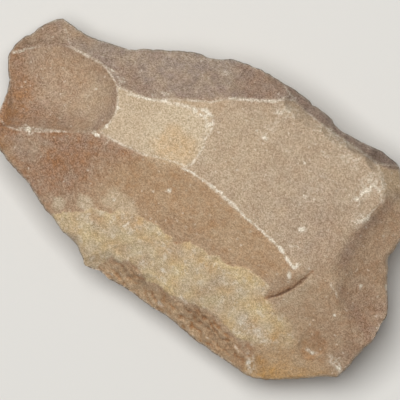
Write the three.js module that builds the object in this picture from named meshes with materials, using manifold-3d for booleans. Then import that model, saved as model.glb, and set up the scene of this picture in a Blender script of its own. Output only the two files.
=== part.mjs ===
// A stone hand axe: one knapped piece of quartzite, lying on its underside.
// Millimetres, +Z up. +X runs from the narrow tip at -X to the broad butt at +X, and the flat
// spot that it rests on is at z = 0.
import * as THREE from "three";
import { mergeVertices } from "three/addons/utils/BufferGeometryUtils.js";
import Module from "manifold-3d";

const wasm = await Module();
wasm.setup();

// ---- driving sizes ----
const BLANK_HEIGHT = 46; // the thickness of the raw piece before any flake was struck
const OVERHEAD = 400; // how far the removed stone reaches above, or below the underside
const SCAR_REACH = 96; // half the side of the square of stone that one blow can take away
const CHORD_ERROR = 0.25; // how far a flat facet may stand off the curved scar it draws
const LARGEST_CELL = 24; // the widest facet on a nearly flat scar
const HIGHEST_WALL = 100; // where the wall of a deep scar, far outside the stone, is levelled off

// The hinge crack: a curved line where the long flank flake broke out short of the butt.
const CRACK_CENTRE = [18.9, 1.5];
const CRACK_RADIUS = 28.9;
const CRACK_FROM = -8;
const CRACK_TO = -43;
const CRACK_WIDTH = 1.3;
const CRACK_DEPTH = 1.5;
const CRACK_UNDERCUT = 0.5;
const CRACK_SECTIONS = 8;

// The outline seen from above, anticlockwise. It starts at the tip and takes in the lower left
// edge, the lower edge, the butt and the long back.
const OUTLINE = [
  [-77.5, -0.6], [-76.9, -2.6], [-71.6, -8.6], [-69.6, -15.2], [-68.0, -22.1], [-65.4, -26.1],
  [-61.4, -28.8], [-56.4, -30.6], [-46.4, -32.6], [-43.4, -34.2], [-37.4, -36.6], [-33.4, -37.3],
  [-28.4, -39.3], [-22.4, -39.9], [-17.9, -42.6], [-16.1, -44.3], [-13.4, -44.1], [-10.4, -42.8],
  [-6.4, -43.4], [-0.4, -42.6], [10.6, -42.9], [16.1, -42.3], [27.6, -43.6], [50.6, -43.4],
  [56.6, -40.3], [64.6, -34.2], [71.1, -28.6], [74.8, -26.4], [75.9, -21.6], [76.4, -13.6],
  [77.5, -9.6], [76.5, -3.6], [76.6, -0.1], [75.1, 2.9], [71.6, 7.2], [65.8, 16.4],
  [66.2, 19.4], [65.8, 24.4], [64.1, 30.9], [59.6, 36.9], [50.6, 43.6], [42.6, 44.2],
  [29.6, 41.9], [25.6, 42.2], [23.6, 43.4], [9.6, 44.3], [4.6, 44.1], [-3.4, 43.6],
  [-9.4, 42.5], [-15.2, 40.6], [-18.4, 38.1], [-21.9, 36.4], [-25.4, 36.0], [-30.4, 33.3],
  [-42.4, 25.8], [-45.4, 23.4], [-56.9, 20.0], [-61.4, 19.4], [-68.9, 19.6], [-70.9, 18.0],
  [-74.0, 12.9], [-74.7, 9.4], [-76.2, 7.4], [-77.3, 3.4],
];

// Each scar is the dish that one flake left. `at` is a point of its floor, `falls` the compass
// direction (degrees from +X) in which that floor drops by `slope` degrees, and the floor rises
// by `depth` at `long` from `at` along that direction or at `wide` across it. `power` says how
// that rise is shared out: 2 is an even bowl, and more is a flat floor with a steeper wall.
const UPPER_SCARS = {
  // the short round scar that hollows the tip, its wall rising towards the middle
  tip: { at: [-65, -1.8, 19.5], falls: 195, slope: 13, long: 29, wide: 18.5, depth: 12, power: 3 },
  // the small bevel on the far side of the tip
  tipBevel: { at: [-68, 13, 20.4], falls: 158, slope: 36 },
  // the long steep strip from the tip to the back
  backStrip: { at: [-45, 17, 29.1], falls: 122, slope: 40, long: 60, wide: 60, depth: -1 },
  // the pale scar between the tip and the high middle
  paleScar: { at: [-22, 8, 39.5], falls: 150, slope: 14, long: 40, wide: 40, depth: 1 },
  // the broad high middle, slightly domed
  plateau: { at: [12, 18, 40.6], falls: 85, slope: 10, long: 70, wide: 60, depth: -3 },
  // the narrow steep back and its cut corner
  back: { at: [28, 42, 31.6], falls: 88, slope: 65, long: 60, wide: 60, depth: 2 },
  backCorner: { at: [56, 36, 30], falls: 50, slope: 50 },
  // the hollow beside the butt, with a short wall against the high middle
  buttHollow: { at: [65, 12, 28.6], falls: 12, slope: 32, long: 14, wide: 30, depth: 4, power: 3 },
  // the shoulder that drops to the near corner of the butt
  shoulder: { at: [58, -14, 32.5], falls: 300, slope: 33, long: 50, wide: 50, depth: 1 },
  // the long brown flank below the main ridge, ended by a steep curved step
  flank: { at: [5, -12, 36.8], falls: 268, slope: 24, long: 60, wide: 43.5, depth: 6, power: 8 },
  tipFlank: { at: [-45, -18, 31.4], falls: 246, slope: 24.5, long: 20, wide: 60, depth: -1 },
  // the old outer skin of the cobble, left along the near edge
  cortex: { at: [5, -28, 28.5], falls: 271.5, slope: 31 },
  // the crushed strip at the near edge, and the ochre corner beside it
  crushedEdge: { at: [18, -38, 21.6], falls: 270, slope: 48, long: 30, wide: 30, depth: 2, power: 4 },
  nearCorner: { at: [58, -32, 22.4], falls: 295, slope: 38 },
};

// The same for the underside, where `falls` is the direction in which the scar climbs away from
// the resting plane. The four slight ones leave a flat spot in the middle.
const UNDER_SCARS = {
  restTip: { at: [-22, 0, 0], falls: 185, slope: 8 },
  restBack: { at: [6, 14, 0], falls: 95, slope: 9 },
  restButt: { at: [32, 0, 0], falls: 10, slope: 8 },
  restNear: { at: [4, -15, 0], falls: 275, slope: 9 },
  underTip: { at: [-60, 2, 8.6], falls: 190, slope: 22, long: 40, wide: 40, depth: 1 },
  underTipCorner: { at: [-66, -16, 15.5], falls: 205, slope: 42, long: 60, wide: 9, depth: 3, power: 4 },
  underBackStrip: { at: [-34, 22, 14], falls: 117, slope: 42, long: 60, wide: 24, depth: 4, power: 4 },
  underBackMiddle: { at: [-8, 34, 15], falls: 110, slope: 45, long: 60, wide: 30, depth: 2, power: 4 },
  underBack: { at: [22, 32, 11.2], falls: 92, slope: 50, long: 60, wide: 60, depth: 2, power: 4 },
  underButt: { at: [58, 10, 12.5], falls: 28, slope: 42, long: 60, wide: 60, depth: 2, power: 4 },
  underButtEdge: { at: [68, -14, 15.8], falls: 15, slope: 42, long: 60, wide: 12, depth: 3, power: 4 },
  underCorner: { at: [58, -26, 6.3], falls: 305, slope: 42, long: 60, wide: 60, depth: 1 },
  underNear: { at: [12, -33, 6.2], falls: 268, slope: 40, long: 40, wide: 60, depth: 1 },
  underTipFlank: { at: [-44, -22, 11.5], falls: 250, slope: 40, long: 60, wide: 30, depth: 3, power: 4 },
};

const radians = (degrees) => (degrees * Math.PI) / 180;

// How far the dish of a scar stands above its lowest point, at `u` downhill and `v` across.
function dishRise(scar, u, v) {
  const { slope, long = 1, wide = 1, depth = 0, power = 2 } = scar;
  const bowl = depth * Math.hypot(u / long, v / wide) ** power;
  return -Math.tan(radians(slope)) * u + Math.min(bowl, HIGHEST_WALL);
}

// The cell size that keeps flat facets within CHORD_ERROR of the dish.
function cellSize({ long = 1, wide = 1, depth = 0, power = 2 }) {
  const bend = (Math.abs(depth) * power * (power - 1)) / Math.min(long, wide) ** 2;
  return bend > 0 ? Math.min(LARGEST_CELL, Math.sqrt((8 * CHORD_ERROR) / bend)) : 2 * SCAR_REACH;
}

// ---- solids ----
function solidFrom(positions, triangles) {
  const mesh = { numProp: 3, vertProperties: new Float32Array(positions), triVerts: new Uint32Array(triangles) };
  return new wasm.Manifold(new wasm.Mesh(mesh));
}

function solidFromGeometry(geometry) {
  const bare = new THREE.BufferGeometry();
  bare.setAttribute("position", geometry.attributes.position.clone());
  if (geometry.index) bare.setIndex(geometry.index.clone());
  const welded = mergeVertices(bare, 1e-4);
  return solidFrom(welded.attributes.position.array, welded.index.array);
}

// The stone that one blow took away: everything above the dish, or below it for the underside.
function removedStone(scar, side) {
  const cells = Math.max(1, Math.ceil((2 * SCAR_REACH) / cellSize(scar)));
  const [x, y, z] = scar.at;
  const along = [Math.cos(radians(scar.falls)), Math.sin(radians(scar.falls))];
  const lid = side * OVERHEAD;
  const positions = [];
  for (const layer of ["dish", "lid"]) {
    for (let i = 0; i <= cells; i++) {
      for (let j = 0; j <= cells; j++) {
        const u = SCAR_REACH * ((2 * i) / cells - 1);
        const v = SCAR_REACH * ((2 * j) / cells - 1);
        positions.push(x + u * along[0] - v * along[1], y + u * along[1] + v * along[0]);
        positions.push(layer === "dish" ? z + side * dishRise(scar, u, v) : lid);
      }
    }
  }
  const corner = (layer, i, j) => (layer * (cells + 1) + i) * (cells + 1) + j;
  const triangles = [];
  const quad = (a, b, c, d) => {
    const turned = side > 0 ? [a, b, c, a, c, d] : [a, c, b, a, d, c];
    triangles.push(...turned);
  };
  for (let i = 0; i < cells; i++) {
    for (let j = 0; j < cells; j++) {
      quad(corner(0, i, j), corner(0, i, j + 1), corner(0, i + 1, j + 1), corner(0, i + 1, j));
      quad(corner(1, i, j), corner(1, i + 1, j), corner(1, i + 1, j + 1), corner(1, i, j + 1));
    }
    quad(corner(0, i, 0), corner(0, i + 1, 0), corner(1, i + 1, 0), corner(1, i, 0));
    quad(corner(0, i + 1, cells), corner(0, i, cells), corner(1, i, cells), corner(1, i + 1, cells));
    quad(corner(0, 0, i + 1), corner(0, 0, i), corner(1, 0, i), corner(1, 0, i + 1));
    quad(corner(0, cells, i), corner(0, cells, i + 1), corner(1, cells, i + 1), corner(1, cells, i));
  }
  return solidFrom(positions, triangles);
}

// The height of the knapped upper face above a point of the plan.
function upperHeight(x, y) {
  const heights = Object.values(UPPER_SCARS).map((scar) => {
    const turn = radians(scar.falls);
    const dx = x - scar.at[0];
    const dy = y - scar.at[1];
    const u = dx * Math.cos(turn) + dy * Math.sin(turn);
    const v = dy * Math.cos(turn) - dx * Math.sin(turn);
    return scar.at[2] + dishRise(scar, u, v);
  });
  return Math.min(...heights);
}

// The crack is a narrow wedge along an arc. It leans under the butt side and runs out at both ends.
function crackOpening() {
  const positions = [];
  for (let k = 0; k <= CRACK_SECTIONS; k++) {
    const share = k / CRACK_SECTIONS;
    const angle = radians(CRACK_FROM + (CRACK_TO - CRACK_FROM) * share);
    const swell = Math.sin(Math.PI * (0.08 + 0.84 * share));
    const pointAt = (radius) => [
      CRACK_CENTRE[0] + radius * Math.cos(angle),
      CRACK_CENTRE[1] + radius * Math.sin(angle),
    ];
    const inner = pointAt(CRACK_RADIUS - CRACK_WIDTH * swell);
    const outer = pointAt(CRACK_RADIUS);
    const root = pointAt(CRACK_RADIUS + CRACK_UNDERCUT);
    positions.push(...inner, upperHeight(...inner) + 0.1, ...inner, upperHeight(...inner) + 4);
    positions.push(...outer, upperHeight(...outer) + 4, ...outer, upperHeight(...outer) + 0.1);
    positions.push(...root, upperHeight(...root) - CRACK_DEPTH * swell);
  }
  const ring = 5;
  const triangles = [];
  for (let k = 0; k < CRACK_SECTIONS; k++) {
    for (let i = 0; i < ring; i++) {
      const a = k * ring + i;
      const b = k * ring + ((i + 1) % ring);
      triangles.push(a, b, b + ring, a, b + ring, a + ring);
    }
  }
  const last = CRACK_SECTIONS * ring;
  for (let i = 1; i < ring - 1; i++) {
    triangles.push(0, i + 1, i);
    triangles.push(last, last + i, last + i + 1);
  }
  return solidFrom(positions, triangles);
}

function knappedStone() {
  const plan = new THREE.Shape(OUTLINE.map(([x, y]) => new THREE.Vector2(x, y)));
  const blank = new THREE.ExtrudeGeometry(plan, { depth: BLANK_HEIGHT, bevelEnabled: false });
  let stone = solidFromGeometry(blank);
  for (const scar of Object.values(UPPER_SCARS)) stone = stone.subtract(removedStone(scar, 1));
  for (const scar of Object.values(UNDER_SCARS)) stone = stone.subtract(removedStone(scar, -1));
  return stone.subtract(crackOpening());
}

// ---- the piece ----
function quartzite() {
  return new THREE.MeshStandardMaterial({ name: "quartzite", color: 0xb5987a, roughness: 0.9, metalness: 0 });
}

function toMesh(name, solid, material) {
  const { vertProperties, triVerts } = solid.getMesh();
  const geometry = new THREE.BufferGeometry();
  geometry.setAttribute("position", new THREE.BufferAttribute(new Float32Array(vertProperties), 3));
  geometry.setIndex(new THREE.BufferAttribute(new Uint32Array(triVerts), 1));
  geometry.computeVertexNormals();
  const mesh = new THREE.Mesh(geometry, material);
  mesh.name = name;
  return mesh;
}

const group = new THREE.Group();
group.name = "stone_hand_axe";
group.add(toMesh("hand_axe", knappedStone(), quartzite()));

export default group;
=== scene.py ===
# %% [markdown]
# # A stone hand axe
# A hand axe is the oldest tool that people made to a plan. This one was struck from a quartzite
# cobble: each blow of a hammerstone took off one flake and left one hollow, called a scar. Some of
# the cobble's own skin, the cortex, was left where the hand held it. The lesson builds the stone
# as it was made, one scar after another, and then paints it as the ground stained it.

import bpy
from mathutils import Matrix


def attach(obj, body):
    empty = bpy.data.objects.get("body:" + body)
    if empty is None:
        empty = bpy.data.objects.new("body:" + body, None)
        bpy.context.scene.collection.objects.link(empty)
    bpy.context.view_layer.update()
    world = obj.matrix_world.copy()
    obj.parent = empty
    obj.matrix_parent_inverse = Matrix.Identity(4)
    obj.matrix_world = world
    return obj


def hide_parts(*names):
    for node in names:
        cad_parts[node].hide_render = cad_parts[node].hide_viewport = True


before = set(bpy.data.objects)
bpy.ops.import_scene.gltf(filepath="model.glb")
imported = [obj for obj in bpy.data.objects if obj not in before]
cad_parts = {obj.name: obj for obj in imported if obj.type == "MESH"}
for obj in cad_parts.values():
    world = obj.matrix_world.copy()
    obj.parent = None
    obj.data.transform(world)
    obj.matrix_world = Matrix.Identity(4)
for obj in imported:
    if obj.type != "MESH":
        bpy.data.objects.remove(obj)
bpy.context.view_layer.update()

# %% [markdown]
# The measured part is a plain faceted solid. The piece made here has the same scars and the same
# outline, and adds the relief that is too fine for a measured solid. All the shaping is done with
# arrays of points in numpy, in millimetres, because a formula on 60,000 points at once is quick.
# One metre in Blender is 1000 of these units, so a single factor turns them over at the end.
# Every irregular shape comes from one kind of noise, soft lumps. Each use has its own seed, the
# last number given, so no two look alike and every run makes the same stone.

import bpy
import numpy as np
from mathutils import Vector
from mathutils.geometry import delaunay_2d_cdt

MM = 0.001


def ease(share):
    """A share from 0 to 1 that starts and ends gently."""
    share = np.clip(share, 0, 1)
    return share * share * (3 - 2 * share)


def lumps(x, y, size, seed):
    """Soft lumps and hollows from about -1 to 1, with size millimetres from one to the next."""
    turns = np.random.default_rng(seed).random((256, 256)) * 2 * np.pi
    u, v = x / size + 91.7, y / size + 57.3
    column, row = np.floor(u).astype(int), np.floor(v).astype(int)
    across, up = u - column, v - row

    def corner(i, j):
        turn = turns[(row + j) % 256, (column + i) % 256]
        return np.cos(turn) * (across - i) + np.sin(turn) * (up - j)

    low = corner(0, 0) + (corner(1, 0) - corner(0, 0)) * ease(across)
    high = corner(0, 1) + (corner(1, 1) - corner(0, 1)) * ease(across)
    return 1.6 * (low + (high - low) * ease(up))


def rough(x, y, layers, level=0):
    """Lumps of several sizes over a level. Each layer is a height, a size and a seed."""
    return sum((height * lumps(x, y, size, seed) for height, size, seed in layers), level)


def jagged(x, y, size, amount, seed):
    """Points shifted a little, for a ragged edge."""
    return x + amount * lumps(x, y, size, seed), y + amount * lumps(x, y, size, seed + 1)


def closed(loop):
    """A loop with its first place repeated at its end."""
    return np.vstack((loop, loop[:1]))


def beside(line, x, y):
    """How far each point lies from a line drawn through the given places."""
    nearest = np.full(np.shape(x), np.inf)
    for (ax, ay), (bx, by) in zip(line[:-1], line[1:]):
        dx, dy = bx - ax, by - ay
        share = np.clip(((x - ax) * dx + (y - ay) * dy) / (dx * dx + dy * dy), 0, 1)
        nearest = np.minimum(nearest, np.hypot(x - ax - share * dx, y - ay - share * dy))
    return nearest


def within(loop, x, y):
    """True for each point inside a closed loop."""
    inside = np.zeros(np.shape(x), bool)
    for (ax, ay), (bx, by) in zip(loop, np.roll(loop, -1, axis=0)):
        if ay != by:
            inside ^= ((ay > y) != (by > y)) & (x < (bx - ax) * (y - ay) / (by - ay) + ax)
    return inside


def patch(loop, x, y, soft):
    """1 inside a closed loop and 0 outside it, with the change spread over soft millimetres."""
    loop = np.array(loop, float)
    far = beside(closed(loop), x, y)
    return ease(0.5 + np.where(within(loop, x, y), far, -far) / soft)


# %% [markdown]
# ## The outline
# Seen from above, the tool tapers from a broad butt, held in the palm, to a narrow tip. The
# corners are listed once, anticlockwise from the tip. Real stone has no needle-sharp corner, so
# each corner is cut off a little, and then the line is walked in short steps. Small bites are
# taken inwards only, so that the stone never grows past its measured size.

# %% Outline
OUTLINE = np.array([
    (-77.5, -0.6), (-76.9, -2.6), (-71.6, -8.6), (-69.6, -15.2), (-68, -22.1), (-65.4, -26.1),
    (-61.4, -28.8), (-56.4, -30.6), (-46.4, -32.6), (-43.4, -34.2), (-37.4, -36.6), (-33.4, -37.3),
    (-28.4, -39.3), (-22.4, -39.9), (-17.9, -42.6), (-16.1, -44.3), (-13.4, -44.1), (-10.4, -42.8),
    (-6.4, -43.4), (-0.4, -42.6), (10.6, -42.9), (16.1, -42.3), (27.6, -43.6), (50.6, -43.4),
    (56.6, -40.3), (64.6, -34.2), (71.1, -28.6), (74.8, -26.4), (75.9, -21.6), (76.4, -13.6),
    (77.5, -9.6), (76.5, -3.6), (76.6, -0.1), (75.1, 2.9), (71.6, 7.2), (65.8, 16.4), (66.2, 19.4),
    (65.8, 24.4), (64.1, 30.9), (59.6, 36.9), (50.6, 43.6), (42.6, 44.2), (29.6, 41.9),
    (25.6, 42.2), (23.6, 43.4), (9.6, 44.3), (4.6, 44.1), (-3.4, 43.6), (-9.4, 42.5),
    (-15.2, 40.6), (-18.4, 38.1), (-21.9, 36.4), (-25.4, 36), (-30.4, 33.3), (-42.4, 25.8),
    (-45.4, 23.4), (-56.9, 20), (-61.4, 19.4), (-68.9, 19.6), (-70.9, 18), (-74, 12.9),
    (-74.7, 9.4), (-76.2, 7.4), (-77.3, 3.4),
])
RING_STEP = 0.45
CORNER_CUT = 0.1
LEAST_BITE = 0.05
BITES = ((0.4, 4.2, 1), (0.3, 1.6, 2))  # depth, size, seed


def cut_corners(loop, share):
    """Cuts every corner of a closed loop off, a share of the way along its sides."""
    following = np.roll(loop, -1, axis=0)
    pairs = (loop + share * (following - loop), following + share * (loop - following))
    return np.stack(pairs, axis=1).reshape(-1, 2)


def walk(loop, step):
    """Points a step apart along a closed loop."""
    line = closed(loop)
    along = np.r_[0, np.cumsum(np.hypot(*np.diff(line, axis=0).T))]
    stops = np.arange(round(along[-1] / step)) * step
    return np.column_stack([np.interp(stops, along, line[:, i]) for i in (0, 1)])


def outward(ring):
    """The direction that points straight out of an anticlockwise loop at each of its points."""
    run = np.roll(ring, -3, axis=0) - np.roll(ring, 3, axis=0)
    return np.column_stack((run[:, 1], -run[:, 0])) / np.hypot(*run.T)[:, None]


ring = walk(cut_corners(OUTLINE, CORNER_CUT), RING_STEP)
bites = (depth * np.maximum(0, lumps(*ring.T, size, seed)) for depth, size, seed in BITES)
bite = sum(bites, LEAST_BITE)
ring = ring - outward(ring) * bite[:, None]
closed_ring = closed(ring)
print(f"outline: {len(ring)} points, bites up to {bite.max():.2f} mm")

# %% [markdown]
# ## One scar, one shallow dish
# A flake leaves a nearly flat, slightly hollow face. So each scar is a tilted plane that curls up
# away from its middle: it goes through the point `at`, drops by `slope` degrees towards the
# compass direction `falls`, and rises by `depth` at the distances `long` and `wide`. Where two
# scars meet they leave an edge called an arris. The upper side of the tool is simply the lowest of
# all its dishes, and the underside is the highest of all of its own.

# %% Scars of both sides
UPPER_SCARS = {
    "tip": dict(at=(-65, -1.8, 19.5), falls=195, slope=13, long=29, wide=18.5, depth=12, power=3),
    "tip_bevel": dict(at=(-68, 13, 20.4), falls=158, slope=36),
    "back_strip": dict(at=(-45, 17, 29.1), falls=122, slope=40, long=60, wide=60, depth=-1),
    "pale_scar": dict(at=(-22, 8, 39.5), falls=150, slope=14, long=40, wide=40, depth=1),
    "plateau": dict(at=(12, 18, 40.6), falls=85, slope=10, long=70, wide=60, depth=-3),
    "back": dict(at=(28, 42, 31.6), falls=88, slope=65, long=60, wide=60, depth=2),
    "back_corner": dict(at=(56, 36, 30), falls=50, slope=50),
    "butt_hollow": dict(at=(65, 12, 28.6), falls=12, slope=32, long=14, wide=30, depth=4, power=3),
    "shoulder": dict(at=(58, -14, 32.5), falls=300, slope=33, long=50, wide=50, depth=1),
    "flank": dict(at=(5, -12, 36.8), falls=268, slope=24, long=60, wide=43.5, depth=6, power=8),
    "tip_flank": dict(at=(-45, -18, 31.4), falls=246, slope=24.5, long=20, wide=60, depth=-1),
    "cortex": dict(at=(5, -28, 28.5), falls=271.5, slope=31),
    "crushed_edge": dict(at=(18, -38, 21.6), falls=270, slope=48, long=30, wide=30, depth=2, power=4),
    "near_corner": dict(at=(58, -32, 22.4), falls=295, slope=38),
}
UNDER_SCARS = {
    "rest_tip": dict(at=(-22, 0, 0), falls=185, slope=8),
    "rest_back": dict(at=(6, 14, 0), falls=95, slope=9),
    "rest_butt": dict(at=(32, 0, 0), falls=10, slope=8),
    "rest_near": dict(at=(4, -15, 0), falls=275, slope=9),
    "tip": dict(at=(-60, 2, 8.6), falls=190, slope=22, long=40, wide=40, depth=1),
    "tip_corner": dict(at=(-66, -16, 15.5), falls=205, slope=42, long=60, wide=9, depth=3, power=4),
    "back_strip": dict(at=(-34, 22, 14), falls=117, slope=42, long=60, wide=24, depth=4, power=4),
    "back_middle": dict(at=(-8, 34, 15), falls=110, slope=45, long=60, wide=30, depth=2, power=4),
    "back": dict(at=(22, 32, 11.2), falls=92, slope=50, long=60, wide=60, depth=2, power=4),
    "butt": dict(at=(58, 10, 12.5), falls=28, slope=42, long=60, wide=60, depth=2, power=4),
    "butt_edge": dict(at=(68, -14, 15.8), falls=15, slope=42, long=60, wide=12, depth=3, power=4),
    "corner": dict(at=(58, -26, 6.3), falls=305, slope=42, long=60, wide=60, depth=1),
    "near": dict(at=(12, -33, 6.2), falls=268, slope=40, long=40, wide=60, depth=1),
    "tip_flank": dict(at=(-44, -22, 11.5), falls=250, slope=40, long=60, wide=30, depth=3, power=4),
    "flat": dict(at=(5, 0, 0), falls=0, slope=0),
}
UPPER, UNDER = 1, -1
HIGHEST_WALL = 100


def dish(scar, side, x, y):
    """The height of one scar's dish over each point, for the upper side or the underside."""
    turn = np.radians(scar["falls"])
    dx, dy = x - scar["at"][0], y - scar["at"][1]
    downhill = dx * np.cos(turn) + dy * np.sin(turn)
    across = dy * np.cos(turn) - dx * np.sin(turn)
    reach = np.hypot(downhill / scar.get("long", 1), across / scar.get("wide", 1))
    bowl = np.minimum(scar.get("depth", 0) * reach ** scar.get("power", 2), HIGHEST_WALL)
    return scar["at"][2] + side * (bowl - np.tan(np.radians(scar["slope"])) * downhill)


# %% [markdown]
# Stone doesn't break along a ruler. Before a dish is looked up, each point is shifted a little,
# so that the arrises wander. A few larger shifts, listed one by one, lead single arrises to their
# proper places. Arrises are also worn round over a fraction of a millimetre, and a few are so worn
# that two scars flow into one. A soft minimum does that, and it tells at the same time which scar
# each point belongs to.

# %% Where the arrises run
ARRIS_ROUNDING = 0.16
SWAY, SWAY_SIZE = 0.45, 16
QUIVER, QUIVER_SIZE = 0.16, 3.4
NUDGES = [  # place, shift: the arris near this place moves by this much, or is held by (0, 0)
    ((-35, -5), (0, -1.6)), ((-24, -3.5), (0, -0.6)), ((-14, -1), (0, -0.2)), ((-5, 1.7), (0, -1.2)),
    ((6, 1.8), (0, -1.2)), ((16, 0.5), (0, -1.9)), ((26, -1), (0, -2)), ((35, -2.5), (0, -2)),
    ((41, -5), (0, -1.8)), ((-38, 11), (0, -1.8)), ((-31, 13.7), (0, -2.8)), ((-22, 18.5), (0, 0.6)),
    ((-14, 24), (0, 3.6)), ((-8, 29.5), (0, 4.8)), ((-1, 33), (0, 3.2)), ((6, 38.5), (-1.5, 0.8)),
    ((-46, 14.6), (0, 2.6)), ((-40.5, 11.6), (1.6, 2)), ((-37.2, 5), (1.4, 0)), ((-37, -2), (1.6, 0)),
    ((-45, -11), (0, 1.6)), ((-62, -21), (0, -2.8)), ((-54, -15.5), (0, 0)), ((-60, 12.8), (0, 1)),
    ((-53, 13.6), (0, 1.6)), ((-31, -14), (-2, 0)), ((-6, 10), (3.6, 0)), ((-9, 18), (3, 0)),
    ((28, -34), (0, 3)), ((38, -36), (0, 2)), ((-4, -36), (0, 1.5)), ((57, -3.5), (0, 1)),
]
NUDGE_REACH = 5
WORN_ARRISES = [  # place, reach, extra rounding
    ((53, 4), 7, 1.5), ((52.5, 14), 4, 0.9), ((50, -2), 4, 0.8), ((-31, -14), 4.5, 0.9),
    ((-34, -27), 7, 0.8), ((5, -21), 12, 0.5), ((-66, 15), 3, 0.6), ((-67.5, 8.6), 3, 0.4),
    ((50, -24), 6, 0.8), ((60, -31), 7, 0.7), ((57, 33), 4, 0.8), ((66, -9), 6, 0.2),
    ((-42, -8.5), 3, 0.4),
]


def bell(place, reach, x, y):
    """1 at a place and less and less around it."""
    return np.exp(-((x - place[0]) ** 2 + (y - place[1]) ** 2) / (2 * reach**2))


def worn(x, y):
    """How much more the arrises of the upper side are worn round at each point, in millimetres."""
    return sum(extra * bell(place, reach, x, y) for place, reach, extra in WORN_ARRISES)


def wander(side, x, y):
    """The place where each point looks up its dishes."""
    sway, quiver = (20, 30) if side == UPPER else (40, 50)
    wx, wy = (
        rough(x, y, ((SWAY, SWAY_SIZE, sway + axis), (QUIVER, QUIVER_SIZE, quiver + axis)), level)
        for axis, level in enumerate((x, y))
    )
    if side == UPPER:
        pulls = [bell(place, NUDGE_REACH, x, y) for place, _ in NUDGES]
        total = np.maximum(1, sum(pulls))
        wx = wx - sum(pull * shift[0] for pull, (_, shift) in zip(pulls, NUDGES)) / total
        wy = wy - sum(pull * shift[1] for pull, (_, shift) in zip(pulls, NUDGES)) / total
    return wx, wy


def struck(side, x, y):
    """Height, each scar's share and the distance in height to the next scar, at each point."""
    scars = UPPER_SCARS if side == UPPER else UNDER_SCARS
    heights = side * np.stack([dish(scar, side, *wander(side, x, y)) for scar in scars.values()])
    lowest, second = np.partition(heights, 1, axis=0)[:2]
    rounding = ARRIS_ROUNDING + (worn(x, y) if side == UPPER else 0)
    pull = np.exp((lowest - heights) / rounding)
    shares = dict(zip(scars, pull / pull.sum(axis=0)))
    return side * (lowest - rounding * np.log(pull.sum(axis=0))), shares, second - lowest


FAR_AWAY = 1e3
PROBE = 0.05


def arris_way(side, x, y, families=None):
    """The way from each point to the nearest arris, as x, y and length.

    Where families are given, arrises between two scars of one family don't count.
    """
    scars = UPPER_SCARS if side == UPPER else UNDER_SCARS
    here, right, up = (
        side * np.stack([dish(scar, side, *wander(side, x + dx, y + dy)) for scar in scars.values()])
        for dx, dy in ((0, 0), (PROBE, 0), (0, PROBE))
    )
    each = np.arange(len(x))
    first = np.argmin(here, axis=0)
    families = families or {scar: scar for scar in scars}
    family = np.array([families[scar] for scar in scars])
    related = family[:, None] == family[first][None, :]
    second = np.argmin(here + FAR_AWAY * related, axis=0)
    gap, gap_right, gap_up = (h[second, each] - h[first, each] for h in (here, right, up))
    gx, gy = (gap_right - gap) / PROBE, (gap_up - gap) / PROBE
    steep = np.maximum(gx * gx + gy * gy, 1e-6)
    return -gap * gx / steep, -gap * gy / steep, gap / np.sqrt(steep)


# %% [markdown]
# ## What the hammer and the ground added
# - A long blow to the shoulder stopped short and left a **hinge crack**: a thin dark curved slot
#   with a lip.
# - The strip of **cortex** stands a little proud of the scars that cut it, and is lumpy and
#   pitted, as a river cobble's skin is.
# - The lower edge was **crushed** by blows that broke off steps instead of flakes.
# - Concentric **ripples** spread over the shoulder from the point of the blow, and a small
#   **spall** popped off near the butt.
# Each is a small height added to the dishes or taken from them.

# %% Where the special places lie
CORTEX_PATCH = [
    (-35.5, -40), (-34.5, -36.4), (-32.4, -34.6), (-30.6, -32.2), (-28.2, -31), (-26.4, -29.4),
    (-25, -27), (-22.4, -26.2), (-20.6, -25.6), (-18.6, -24.4), (-16.8, -22.4), (-14.6, -21.4),
    (-11.4, -20.4), (-8, -20.2), (-4.4, -19.1), (-1, -19.8), (2.6, -19.6), (4.4, -21.2), (5.6, -20.6),
    (6.6, -18.4), (8.8, -17.6), (10.6, -17.8), (13, -16.9), (16.6, -17.3), (19.4, -16.3), (22.6, -16.8),
    (26.6, -15.1), (29.6, -13.6), (34.6, -14.2), (38.2, -14.4), (39.4, -18), (43, -19.4), (49.6, -20.6),
    (54.6, -23.6), (56, -26), (53, -28.6), (48.5, -30.6), (44.5, -32.8), (41, -34.8), (38, -34.4),
    (31.6, -33.1), (26.6, -32.6), (22.6, -33.8), (17.6, -34.4), (13, -36), (8, -35.4), (4.6, -36.4),
    (0.6, -34.8), (-4.4, -34.6), (-7.4, -36.6), (-10.4, -36.2), (-11.4, -39.6), (-12.6, -44),
    (-17, -48), (-36, -46),
]
CORTEX_BLUR, CORTEX_BLUR_BUTT = 0.7, 5
PALE_PATCH = [
    (-42, 13), (-30.4, 15.4), (-25, 16.2), (-21.6, 16.9), (-18.6, 17.8), (-15.4, 19.3), (-12.2, 19.8),
    (-10, 21.2), (-9.2, 19.4), (-7.6, 16.6), (-6.6, 13.4), (-5.9, 8.4), (-5.8, 4.4), (-7.2, 1.6),
    (-8, -1), (-15, -6), (-42, -9),
]
CRUSHED_PATCH = [
    (-11, -44), (-9.6, -37), (-3.4, -35), (4.6, -36.6), (14.6, -35.6), (22.6, -33.4), (31.6, -33),
    (38, -34.6), (44, -35), (50.6, -40), (52, -46),
]


def cortex_share(x, y):
    """1 on the old skin and 0 off it. Its border is sharp, but fades out towards the butt."""
    ragged = jagged(*jagged(x, y, 3.2, 0.6, 62), 1.1, 0.4, 64)
    blur = CORTEX_BLUR + (CORTEX_BLUR_BUTT - CORTEX_BLUR) * ease((x - 40) / 8)
    return patch(CORTEX_PATCH, *ragged, blur)


def pale_share(x, y):
    """1 on the pale scar and 0 off it."""
    return patch(PALE_PATCH, *jagged(*jagged(x, y, 4, 0.5, 66), 1.1, 0.45, 68), 0.6)


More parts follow.
